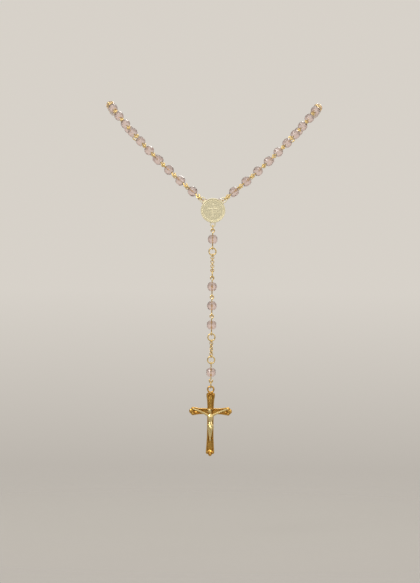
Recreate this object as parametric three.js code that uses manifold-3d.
// A five-decade rosary, hung over a pair of shoulders: two strands of glass beads meet at a round
// medal, a pendant hangs below it, and the rest of the loop lies over the shoulders and down the back.
// Millimetres, +Z up, front towards -Y. The origin is midway between the two shoulder beads.
import * as THREE from "three";
import { mergeVertices } from "three/addons/utils/BufferGeometryUtils.js";
import Module from "manifold-3d";

const wasm = await Module();
wasm.setup();

// ---------------------------------------------------------------- driving dimensions

// Faceted glass beads
const beadDiameter = 6;
const beadLength = 5.2;
const beadEndDiameter = 3.2; // flat round each mouth of the bore
const beadBeltLength = 1.1; // widest band
const beadBore = 1.3;
const beadSides = 8;
const beadsPerDecade = 10;

// Eye pins: one bead each, an eye at both ends, the second turned a quarter from the first
const pinWire = 0.7;
const pinEyeRadius = 1; // to the middle of the wire
const pinEyeStandoff = 2.575; // bead's end to the eye's centre

// Jump rings and the fine cable chain
const ringWire = 0.8;
const ringRadius = 2.1;
const earRingWire = 0.7;
const earRingRadius = 1.57;
const chainWire = 0.5;
const chainLinkRadius = 0.95;
const chainLinkGap = 0.1;
const chainLinks = 8;
const hookGap = 0.15; // between two hooked wires

// Centre medal
const medalRadius = 7.4;
const medalThickness = 1.6;
const medalRimWidth = 0.7;
const medalRimHeight = 0.3;
const earThickness = 0.7;
const earHoleRadius = 1.1;
const earWall = 0.7;
const earSlack = 0.3; // between the ring's wire and the hole's rim
const upperEarStandoff = 1.6; // medal's edge to the hole's centre
const lowerEarStandoff = 0.9;
const upperEarAngle = 45; // degrees above the horizontal

// Crucifix
const crossThickness = 1.6;
const crossTopArm = 11.4; // from the crossing to the tip
const crossSideArm = 12.85;
const crossFoot = 26.9;
const crossWaist = 3.6;
const crossTip = 5.3;
const crossLoopRadius = 1.8;
const crossLoopWire = 1;
const crossLoopSink = 0.1; // how far the loop's ring reaches into the top arm
const waistShare = 0.45; // of an arm's length, before it flares to its tip
const lobeShare = 0.55; // of a tip's half width, the reach of one of its lobes

// Figure on the cross. Levels are drops below the crossing.
const corpusGap = 0.3; // to the cross behind it
const headRadius = 1.25;
const headBow = 0.35; // to one side
const shoulderDrop = 2.1;
const hipDrop = 9.2;
const kneeDrop = 12.8;
const footDrop = 17;
const bodyRadius = 1.45;
const armRadius = 0.75;
const handRadius = 0.5;
const thighRadius = 1;
const kneeRadius = 0.8;
const handInset = 0.6; // from the side arm's flare to the hand's middle
const handRise = 1; // above the crossing

// How the loop lies, in degrees
const frontLeanAtMedal = 39.5; // above the horizontal, seen from the front
const frontLeanAtShoulder = 53.5;
const frontTiltAtMedal = 23; // backwards, out of the upright
const frontTiltAtShoulder = 54;
const frontTiltEase = 0.55; // 0 is an even change of tilt, 1 stops changing at the shoulder
const shoulderRise = 2.4;
const shoulderSpread = 1.35;
const backCurve = 12; // how much steeper the back strand starts than it ends
const backBottomLean = 32.5; // of the two beads at its lowest point

// Fineness of the round forms
const wireSides = 4;
const eyeSegments = 8;
const ringSegments = 12;
const medalSegments = 28;

// ---------------------------------------------------------------- worked-out lengths

const reach = (wire) => (wire + hookGap) / 2; // how far a wire's middle passes its hook's pivot
const inset = (radius, wire) => radius - reach(wire); // from a pivot to its ring's centre
const pinHalf = beadLength / 2 + pinEyeStandoff + inset(pinEyeRadius, pinWire);
const beadPitch = 2 * pinHalf;
const ringPitch = 2 * inset(ringRadius, ringWire);
const earRingPitch = 2 * inset(earRingRadius, earRingWire);
const chainLinkPitch = 2 * chainLinkRadius - chainWire - chainLinkGap;
const chainLength = (chainLinks - 1) * chainLinkPitch + 2 * inset(chainLinkRadius, chainWire);
const spacerLength = 2 * ringPitch + chainLength;
const earPivot = earHoleRadius - earRingWire / 2 - earSlack + reach(earRingWire);

// ---------------------------------------------------------------- materials

const roseGlass = () => new THREE.MeshStandardMaterial({
  color: 0xd9b3ad,
  roughness: 0.08,
  transparent: true,
  opacity: 0.6,
});
const metal = (color, roughness) => new THREE.MeshStandardMaterial({ color, roughness, metalness: 1 });
const goldWire = () => metal(0xd9a441, 0.25);
const paleGold = () => metal(0xd8cba0, 0.4);
const castGold = () => metal(0xd0952a, 0.22);

// ---------------------------------------------------------------- solids

const radians = THREE.MathUtils.degToRad;

function solidOf(geometry) {
  const bare = geometry.clone();
  bare.deleteAttribute("normal");
  bare.deleteAttribute("uv");
  const merged = mergeVertices(bare, 1e-4);
  const triVerts = new Uint32Array(merged.index.array);
  return new wasm.Manifold(
    new wasm.Mesh({ numProp: 3, vertProperties: merged.attributes.position.array, triVerts }),
  );
}

function geometryOf(solid) {
  const { numProp, vertProperties, triVerts } = solid.getMesh();
  const geometry = new THREE.BufferGeometry();
  const positions = new THREE.BufferAttribute(new Float32Array(vertProperties), numProp);
  geometry.setAttribute("position", positions);
  geometry.setIndex(new THREE.BufferAttribute(new Uint32Array(triVerts), 1));
  const flat = geometry.toNonIndexed();
  flat.computeVertexNormals();
  return flat;
}

// Joins closed geometries into one solid and cuts others out of it.
function join(added, removed = []) {
  let solid = solidOf(added[0]);
  for (const piece of added.slice(1)) solid = solid.add(solidOf(piece));
  for (const piece of removed) solid = solid.subtract(solidOf(piece));
  return geometryOf(solid);
}

// A wire ring centred at height z on the local Z axis, with a vertex where each neighbour hooks in.
// It faces along local Y, or along local X, and turn swings it further about Z.
function wireRing(radius, wire, z, faces, segments = ringSegments, turn = 0) {
  const ring = new THREE.TorusGeometry(radius, wire / 2, wireSides, segments);
  if (faces === "y") ring.rotateZ(Math.PI / 2).rotateX(Math.PI / 2);
  else ring.rotateY(Math.PI / 2);
  return ring.rotateZ(turn).translate(0, 0, z);
}

// A round bar along local Z.
function bar(diameter, from, to) {
  const length = to - from;
  const rod = new THREE.CylinderGeometry(diameter / 2, diameter / 2, length, wireSides);
  return rod.rotateX(Math.PI / 2).translate(0, 0, (from + to) / 2);
}

// The bead's half outline, as [radius, height] from one mouth to the other.
function beadOutline() {
  const end = beadEndDiameter / 2;
  const belly = beadDiameter / 2;
  return [
    [end, -beadLength / 2],
    [belly, -beadBeltLength / 2],
    [belly, beadBeltLength / 2],
    [end, beadLength / 2],
  ];
}

// A faceted bead centred at height z: bored through, or solid where it shares a solid with its pin.
function bead(z, bored) {
  const inner = bored ? beadBore / 2 : 0;
  const outline = [[inner, -beadLength / 2], ...beadOutline(), [inner, beadLength / 2]];
  if (bored) outline.push([inner, -beadLength / 2]);
  const profile = outline.map(([radius, height]) => new THREE.Vector2(radius, height));
  return new THREE.LatheGeometry(profile, beadSides).rotateX(Math.PI / 2).translate(0, 0, z);
}

// One eye pin from its first pivot, at the local origin, to its second.
function pinPieces() {
  const eyeCentre = inset(pinEyeRadius, pinWire);
  const stemEnd = eyeCentre + pinEyeRadius;
  return [
    bar(pinWire, stemEnd, beadPitch - stemEnd),
    wireRing(pinEyeRadius, pinWire, eyeCentre, "y", eyeSegments),
    wireRing(pinEyeRadius, pinWire, beadPitch - eyeCentre, "x", eyeSegments),
  ];
}

const pinGeometry = join(pinPieces());
const boredBeadGeometry = join([bead(pinHalf, true)]);
const beadLinkGeometry = join([bead(pinHalf, false), ...pinPieces()]);
const jumpRingGeometry = {
  y: join([wireRing(ringRadius, ringWire, ringPitch / 2, "y")]),
  x: join([wireRing(ringRadius, ringWire, ringPitch / 2, "x")]),
};
const earRingGeometry = join([wireRing(earRingRadius, earRingWire, earRingPitch / 2, "x")]);

// A length of fine chain. Its links, each turned a quarter from the last, are drawn a little
// smaller and thicker than real ones, so that they touch and make one solid.
function fineChain(twist) {
  const joinedRadius = chainLinkRadius - chainLinkGap;
  const joinedWire = chainWire + chainLinkGap;
  const links = [];
  for (let i = 0; i < chainLinks; i += 1) {
    const z = chainLength / 2 + (i - (chainLinks - 1) / 2) * chainLinkPitch;
    const turn = radians((twist * (i + 1)) / (chainLinks + 1));
    links.push(wireRing(joinedRadius, joinedWire, z, i % 2 ? "y" : "x", eyeSegments, turn));
  }
  return join(links);
}

// ---------------------------------------------------------------- the scene graph

const rosary = new THREE.Group();
rosary.name = "rosary";

function addMesh(name, geometry, material) {
  const mesh = new THREE.Mesh(geometry, material);
  mesh.name = name;
  rosary.add(mesh);
  return mesh;
}

// Puts a piece's local origin at a point, its Z along the strand and its Y along the facing side.
function addAlong(name, geometry, material, at, along, facing) {
  const mesh = addMesh(name, geometry, material);
  const across = new THREE.Vector3().crossVectors(facing, along);
  const basis = new THREE.Matrix4().makeBasis(across, facing, along);
  mesh.quaternion.setFromRotationMatrix(basis);
  mesh.position.copy(at);
  return mesh;
}

// The facing side after a bend: as before, less what now points along the strand.
function carried(facing, along) {
  return facing.clone().addScaledVector(along, -facing.dot(along)).normalize();
}

// ---------------------------------------------------------------- centre medal

// A drilled lug at an angle round the medal, on a neck that reaches into the disc.
function ear(angle, standoff) {
  const distance = medalRadius + standoff;
  const turn = radians(angle);
  const centre = new THREE.Vector3(Math.cos(turn) * distance, 0, Math.sin(turn) * distance);
  const lug = new THREE.CylinderGeometry(
    earHoleRadius + earWall, earHoleRadius + earWall, earThickness, 12,
  );
  const neck = new THREE.BoxGeometry(distance - medalRadius / 2, earThickness, earHoleRadius * 2);
  neck.translate((distance + medalRadius / 2) / 2, 0, 0).rotateY(-turn);
  const hole = new THREE.CylinderGeometry(earHoleRadius, earHoleRadius, earThickness * 2, 10);
  lug.translate(centre.x, 0, centre.z);
  hole.translate(centre.x, 0, centre.z);
  return { lug, neck, hole, centre };
}

const ears = {
  right: ear(upperEarAngle, upperEarStandoff),
  left: ear(180 - upperEarAngle, upperEarStandoff),
  lower: ear(-90, lowerEarStandoff),
};

// A disc with a raised rim round its front face, turned about the local Y axis. Its back is flat.
function medalDisc() {
  const back = -medalThickness / 2;
  const field = medalThickness / 2 - medalRimHeight;
  const profile = [
    [0, back],
    [medalRadius, back],
    [medalRadius, medalThickness / 2],
    [medalRadius - medalRimWidth, medalThickness / 2],
    [medalRadius - medalRimWidth - medalRimHeight, field],
    [0, field],
  ].map(([radius, height]) => new THREE.Vector2(radius, height));
  return new THREE.LatheGeometry(profile, medalSegments).rotateX(Math.PI);
}

const earList = Object.values(ears);
const medalGeometry = join(
  [medalDisc(), ...earList.map((e) => e.lug), ...earList.map((e) => e.neck)],
  earList.map((e) => e.hole),
);
addMesh("center_medal", medalGeometry, paleGold());

// ---------------------------------------------------------------- the loop

// A direction that leans above the horizontal, seen from the front, and tilts back.
function heading(side, lean, tilt) {
  const flat = Math.cos(tilt);
  return new THREE.Vector3(side * flat * Math.cos(lean), Math.sin(tilt), flat * Math.sin(lean));
}

function frontHeading(side, share) {
  const eased = share * (1 + frontTiltEase) - share * share * frontTiltEase;
  const lean = THREE.MathUtils.lerp(frontLeanAtMedal, frontLeanAtShoulder, share);
  const tilt = THREE.MathUtils.lerp(frontTiltAtMedal, frontTiltAtShoulder, eased);
  return heading(side, radians(lean), radians(tilt));
}

function shoulderHeading(side) {
  const across = side * Math.tan(radians(shoulderSpread));
  return new THREE.Vector3(across, 1, Math.tan(radians(shoulderRise))).normalize();
}

// The back strand hangs in an upright plane, steeper at the top, and rounded at its lowest point.
function backHeading(side, meanLean, share, lowest) {
  const lean = lowest ? radians(backBottomLean) : meanLean + radians(backCurve) * (0.5 - share);
  return new THREE.Vector3(-side * Math.cos(lean), 0, -Math.sin(lean));
}

// Where a spacer ends when its chain turns evenly from one direction to another between its
// straight rings.
function bendEnd(start, from, to) {
  const angle = from.angleTo(to);
  const stride = ringPitch + (chainLength / angle) * Math.tan(angle / 2);
  return start.clone().addScaledVector(from, stride).addScaledVector(to, stride);
}

// The back strand's steps, from the shoulder's rear edge to the middle of the last decade.
const backSteps = [spacerLength, beadPitch, spacerLength];
for (let i = 0; i < beadsPerDecade / 2; i += 1) backSteps.push(beadPitch);
const backLength = backSteps.reduce((sum, step) => sum + step, 0);

// The points and directions of the back strand at one mean lean. The first step is a bend.
function backStrand(side, start, meanLean) {
  const points = [start];
  const headings = [];
  let walked = 0;
  for (const step of backSteps) {
    const lowest = headings.length === backSteps.length - 1;
    const along = backHeading(side, meanLean, (walked + step / 2) / backLength, lowest);
    const last = points.at(-1);
    if (points.length === 1) points.push(bendEnd(last, shoulderHeading(side), along));
    else points.push(last.clone().addScaledVector(along, step));
    headings.push(along);
    walked += step;
  }
  return { points, headings };
}

// The mean lean that brings the strand's end to the middle, found by halving.
function closingLean(side, start) {
  let low = 0;
  let high = Math.PI / 2;
  for (let i = 0; i < 50; i += 1) {
    const middle = (low + high) / 2;
    if (side * backStrand(side, start, middle).points.at(-1).x > 0) high = middle;
    else low = middle;
  }
  return (low + high) / 2;
}

// A five-sided section for a core that runs through joined beads or stands for a chain.
function coreSection(diameter) {
  const section = new THREE.Shape();
  for (let i = 0; i < 5; i += 1) {
    const turn = (i / 5) * 2 * Math.PI;
    const [x, y] = [Math.cos(turn) * (diameter / 2), Math.sin(turn) * (diameter / 2)];
    if (i) section.lineTo(x, y);
    else section.moveTo(x, y);
  }
  return section;
}

function core(curve, diameter, steps) {
  return new THREE.ExtrudeGeometry(coreSection(diameter), { steps, extrudePath: curve });
}

// Turns and moves a geometry made along local Z to a point, direction and facing side.
function laid(geometry, at, along, facing) {
  const across = new THREE.Vector3().crossVectors(facing, along);
  const matrix = new THREE.Matrix4().makeBasis(across, facing, along).setPosition(at);
  return geometry.applyMatrix4(matrix);
}

// A spacer is two jump rings with fine chain between them. Out of sight the chain is a plain core.
const spacerCore = chainWire + chainLinkRadius;
const ringFar = ringPitch - reach(ringWire);

function straightSpacer() {
  const start = new THREE.Vector3(0, 0, ringFar);
  const end = new THREE.Vector3(0, 0, spacerLength - ringFar);
  return join([
    wireRing(ringRadius, ringWire, ringPitch / 2, "y", eyeSegments),
    wireRing(ringRadius, ringWire, spacerLength - ringPitch / 2, "x", eyeSegments),
    core(new THREE.LineCurve3(start, end), spacerCore, 1),
  ]);
}

// The spacer that goes over the shoulder's rear edge bends evenly through its whole length.
function bentSpacer(start, from, end, to, facing, endFacing) {
  const first = start.clone().addScaledVector(from, ringFar);
  const last = end.clone().addScaledVector(to, -ringFar);
  const toCorner = first.distanceTo(last) / 2 / Math.cos(from.angleTo(to) / 2);
  const corner = first.clone().addScaledVector(from, toCorner);
  const curve = new THREE.QuadraticBezierCurve3(first, corner, last);
  return join([
    laid(wireRing(ringRadius, ringWire, ringPitch / 2, "y", eyeSegments), start, from, facing),
    laid(wireRing(ringRadius, ringWire, -ringPitch / 2, "x", eyeSegments), end, to, endFacing),
    core(curve, spacerCore, 6),
  ]);
}

// A straight decade of joined beads, with an eye at each end, on one core.
function straightDecade() {
  const eye = inset(pinEyeRadius, pinWire);
  const length = beadsPerDecade * beadPitch;
  const start = new THREE.Vector3(0, 0, eye + pinEyeRadius);
  const end = new THREE.Vector3(0, 0, length - eye - pinEyeRadius);
  const solids = [
    core(new THREE.LineCurve3(start, end), pinWire, 1),
    wireRing(pinEyeRadius, pinWire, eye, "y", eyeSegments),
    wireRing(pinEyeRadius, pinWire, length - eye, "x", eyeSegments),
  ];
  for (let i = 0; i < beadsPerDecade; i += 1) solids.push(bead((i + 0.5) * beadPitch, false));
  return join(solids);
}

const spacerGeometry = straightSpacer();
const decadeGeometry = straightDecade();
const backHalves = [];
let shoulderBead;

// Walks one side from the medal's ear to the middle of the back, adding each piece it passes.
function addSide(side, word) {
  const hole = ears[word].centre;
  let along = frontHeading(side, 0);
  let facing = carried(new THREE.Vector3(0, -1, 0), along);
  let at = hole.clone().addScaledVector(along, earPivot);
  const step = (name, geometry, material, length, next) => {
    addAlong(`${word}_${name}`, geometry, material, at, along, facing);
    at = at.clone().addScaledVector(along, length);
    facing = carried(facing, next);
    along = next;
  };
  step("ear_ring", earRingGeometry, goldWire(), earRingPitch, frontHeading(side, 1 / beadsPerDecade));
  for (let i = 1; i <= beadsPerDecade; i += 1) {
    if (i === beadsPerDecade) shoulderBead = at.clone().addScaledVector(along, pinHalf);
    const share = (i + 1) / beadsPerDecade;
    const next = i < beadsPerDecade ? frontHeading(side, share) : shoulderHeading(side);
    step(`bead_link_${i}`, beadLinkGeometry, roseGlass(), beadPitch, next);
  }
  step("spacer_chain_1", spacerGeometry, goldWire(), spacerLength, along);
  step("spacer_bead_1", beadLinkGeometry, roseGlass(), beadPitch, along);
  step("spacer_chain_2", spacerGeometry, goldWire(), spacerLength, along);
  step("shoulder_decade", decadeGeometry, roseGlass(), beadsPerDecade * beadPitch, along);

  const { points, headings } = backStrand(side, at, closingLean(side, at));
  const bendTurn = new THREE.Quaternion().setFromUnitVectors(along, headings[0]);
  const endFacing = carried(facing.clone().applyQuaternion(bendTurn), headings[0]);
  const bent = bentSpacer(at, along, points[1], headings[0], facing, endFacing);
  addMesh(`${word}_spacer_chain_3`, bent, goldWire());
  facing = carried(endFacing, headings[1]);
  addAlong(`${word}_spacer_bead_2`, beadLinkGeometry, roseGlass(), points[1], headings[1], facing);
  facing = carried(facing, headings[2]);
  addAlong(`${word}_spacer_chain_4`, spacerGeometry, goldWire(), points[2], headings[2], facing);
  backHalves.push({ points: points.slice(3), headings: headings.slice(3), facing });
}

addSide(1, "right");
addSide(-1, "left");

// The last decade joins the two halves: ten beads on one curved core, with a facing eye at each end.
function addBackDecade([right, left]) {
  const eye = inset(pinEyeRadius, pinWire);
  const past = eye + pinEyeRadius;
  const fromEye = (half) => half.points[0].clone().addScaledVector(half.headings[0], past);
  const downRight = [fromEye(right), ...right.points.slice(1)];
  const upLeft = [...left.points.slice(1, -1).reverse(), fromEye(left)];
  const route = [...downRight, ...upLeft];
  const solids = [core(new THREE.CatmullRomCurve3(route), pinWire, 2 * beadsPerDecade)];
  for (const half of [right, left]) {
    const facing = carried(half.facing, half.headings[0]);
    const endEye = wireRing(pinEyeRadius, pinWire, eye, "y", eyeSegments);
    solids.push(laid(endEye, half.points[0], half.headings[0], facing));
    half.headings.forEach((along, i) => {
      solids.push(laid(bead(pinHalf, false), half.points[i], along, carried(half.facing, along)));
    });
  }
  addMesh("back_decade", join(solids), roseGlass());
}

addBackDecade(backHalves);

// ---------------------------------------------------------------- pendant

const down = new THREE.Vector3(0, 0, -1);
const towardsFront = new THREE.Vector3(0, -1, 0);
const towardsSide = new THREE.Vector3(-1, 0, 0);
const hang = ears.lower.centre.clone().addScaledVector(down, earPivot);

function hangPiece(name, geometry, material, length, facing = towardsFront) {
  addAlong(name, geometry, material, hang, down, facing);
  hang.addScaledVector(down, length);
}

function hangBead(number, facing = towardsFront) {
  addAlong(`pendant_bead_${number}`, boredBeadGeometry, roseGlass(), hang, down, facing);
  hangPiece(`pendant_pin_${number}`, pinGeometry, goldWire(), beadPitch, facing);
}

hangPiece("lower_ear_ring", earRingGeometry, goldWire(), earRingPitch);
hangBead(1);
hangPiece("jump_ring_1", jumpRingGeometry.y, goldWire(), ringPitch);
hangPiece("fine_chain_1", fineChain(0), goldWire(), chainLength);
hangPiece("jump_ring_2", jumpRingGeometry.x, goldWire(), ringPitch);
hangBead(2);
hangBead(3);
hangBead(4);
hangPiece("jump_ring_3", jumpRingGeometry.y, goldWire(), ringPitch);
hangPiece("fine_chain_2", fineChain(90), goldWire(), chainLength);
hangPiece("jump_ring_4", jumpRingGeometry.y, goldWire(), ringPitch);
hangBead(5, towardsSide);
hangPiece("crucifix_ring", jumpRingGeometry.x, goldWire(), ringPitch);

// ---------------------------------------------------------------- crucifix

// Half of one arm's outline beyond the crossing's corner, as [distance out, half width]: a narrow
// waist, a flare, and a tip of three small lobes.
function armOutline(length) {
  const waist = crossWaist / 2;
  const tip = crossTip / 2;
  const lobe = tip * lobeShare;
  return [
    [waist, waist],
    [length * waistShare, waist],
    [length - lobe * 2, tip * 0.86],
    [length - lobe, tip],
    [length - lobe * 0.45, tip * 0.88],
    [length - lobe * 0.35, tip * 0.55],
    [length, tip * 0.3],
  ];
}

// The four arms in turn, as one closed outline, extruded to the cross's thickness.
function crossPlate() {
  const arms = [crossTopArm, crossSideArm, crossFoot, crossSideArm];
  const points = [];
  arms.forEach((length, i) => {
    const turn = (-i * Math.PI) / 2;
    const half = armOutline(length);
    const rise = half.slice(1).map(([out, wide]) => new THREE.Vector2(-wide, out));
    const fall = half.map(([out, wide]) => new THREE.Vector2(wide, out)).reverse();
    points.push(...[...rise, ...fall].map((point) => point.rotateAround(new THREE.Vector2(), turn)));
  });
  const plate = new THREE.ExtrudeGeometry(new THREE.Shape(points), {
    depth: crossThickness,
    bevelEnabled: false,
  });
  return plate.translate(0, 0, -crossThickness / 2).rotateX(Math.PI / 2);
}

const loopHeight = crossTopArm + crossLoopRadius - crossLoopSink;
const crossHeight = hang.z - inset(crossLoopRadius, crossLoopWire) - loopHeight;
const crossGeometry = join([crossPlate(), wireRing(crossLoopRadius, crossLoopWire, loopHeight, "y")]);
const crucifix = addMesh("crucifix", crossGeometry, castGold());
crucifix.position.set(0, 0, crossHeight);

// ---------------------------------------------------------------- figure on the cross

// A tapering limb between two points of the figure's plane, [across, up], with a round end.
function limb(from, to, startRadius, endRadius, depth) {
  const start = new THREE.Vector3(from[0], -depth, from[1]);
  const end = new THREE.Vector3(to[0], -depth, to[1]);
  const along = end.clone().sub(start);
  const rod = new THREE.CylinderGeometry(endRadius, startRadius, along.length(), 6);
  rod.translate(0, along.length() / 2, 0);
  rod.applyQuaternion(
    new THREE.Quaternion().setFromUnitVectors(new THREE.Vector3(0, 1, 0), along.normalize()),
  );
  const knob = new THREE.SphereGeometry(endRadius, 6, 4).translate(end.x, end.y, end.z);
  return [rod.translate(start.x, start.y, start.z), knob];
}

// One side's upper arm and forearm, raised a little from the shoulder to the hand.
function arm(side, depth) {
  const hand = side * (crossSideArm - crossTip / 2 - handInset);
  const shoulder = [side * (bodyRadius - handRadius), -shoulderDrop];
  const elbow = [hand / 2, (handRise - shoulderDrop) / 2];
  return [
    ...limb(shoulder, elbow, armRadius, (armRadius + handRadius) / 2, depth),
    ...limb(elbow, [hand, handRise], (armRadius + handRadius) / 2, handRadius, depth),
  ];
}

// One leg, from its side of the hip to the crossed feet.
function leg(side, depth) {
  const top = side * bodyRadius * 0.3;
  const knee = [top - headBow / 4, -kneeDrop];
  return [
    ...limb([top, -hipDrop], knee, thighRadius, kneeRadius, depth),
    ...limb(knee, [side * 0.1, -footDrop], kneeRadius, handRadius, depth),
  ];
}

function corpus() {
  const back = crossThickness / 2 + corpusGap;
  const depth = back + bodyRadius;
  const head = new THREE.SphereGeometry(headRadius, 8, 6).scale(0.85, 0.95, 1.1);
  const hips = new THREE.SphereGeometry(bodyRadius, 8, 6);
  const neck = [-headBow, -shoulderDrop + headRadius];
  return join([
    head.translate(neck[0], -depth, neck[1] + headRadius),
    hips.translate(0, -depth, -hipDrop),
    ...limb([0, -shoulderDrop], neck, armRadius, handRadius, depth),
    ...limb([0, -hipDrop], [0, -shoulderDrop], bodyRadius * 0.8, bodyRadius, depth),
    ...leg(1, back + thighRadius),
    ...leg(-1, back + thighRadius),
    ...arm(1, back + armRadius),
    ...arm(-1, back + armRadius),
  ]);
}

addMesh("corpus", corpus(), castGold()).position.set(0, 0, crossHeight);

// The origin is midway between the shoulder beads, so everything moves back and down to it.
rosary.position.set(0, -shoulderBead.y, -shoulderBead.z);

export default rosary;
